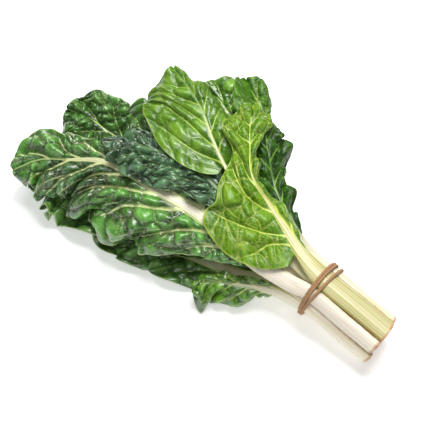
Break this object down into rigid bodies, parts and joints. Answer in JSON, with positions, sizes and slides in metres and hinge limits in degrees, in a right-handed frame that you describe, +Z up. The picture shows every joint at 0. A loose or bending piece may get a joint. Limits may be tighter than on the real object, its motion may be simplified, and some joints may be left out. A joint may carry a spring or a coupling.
{
  "type": "chard bunch",
  "caption": "Bunch of white-stalked chard leaves lying on its side, with crinkled green blades, broad pale stalks and a twine tie",
  "frame": {"origin": "middle of the bunch's bounding box, at the height of the surface it lies on", "axes": "+X along the stalks towards their cut ends, +Z up from the surface, -Y towards the side where the shown faces of the leaves hang down"},
  "size_m": [0.4224, 0.2328, 0.1146],
  "materials": {
    "leaf_dark": "dark green, waxy satin gloss, heavily blistered",
    "leaf_mid": "mid to dark green, waxy satin gloss, blistered",
    "leaf_green": "mid green, waxy satin gloss",
    "leaf_bright": "bright green, smooth and glossy",
    "leaf_yellow": "pale yellow-green, glossy",
    "stalk_white": "white, moist satin, finely ribbed lengthwise",
    "stalk_cream": "cream, moist satin, finely ribbed lengthwise",
    "stalk_yellow": "pale yellow-green, moist satin, ribbed lengthwise",
    "twine": "brown twisted natural fibre, dull"
  },
  "bodies": {
    "root": {"leaf_under_near_blade": "leaf_dark", "leaf_under_near_stalk": "stalk_cream", "leaf_under_far_blade": "leaf_dark", "leaf_under_far_stalk": "stalk_cream", "leaf_near_low_blade": "leaf_green", "leaf_near_low_stalk": "stalk_cream", "leaf_back_left_blade": "leaf_dark", "leaf_back_left_stalk": "stalk_cream", "leaf_back_top_blade": "leaf_green", "leaf_back_top_stalk": "stalk_cream", "leaf_right_far_blade": "leaf_bright", "leaf_right_far_stalk": "stalk_cream", "leaf_right_near_blade": "leaf_green", "leaf_right_near_stalk": "stalk_cream", "leaf_main_blade": "leaf_mid", "leaf_main_stalk": "stalk_white", "leaf_across_blade": "leaf_dark", "leaf_across_stalk": "stalk_cream", "leaf_upright_blade": "leaf_bright", "leaf_upright_stalk": "stalk_yellow", "leaf_front_blade": "leaf_yellow", "leaf_front_stalk": "stalk_yellow", "tie": "twine"}
  },
  "joints": []
}
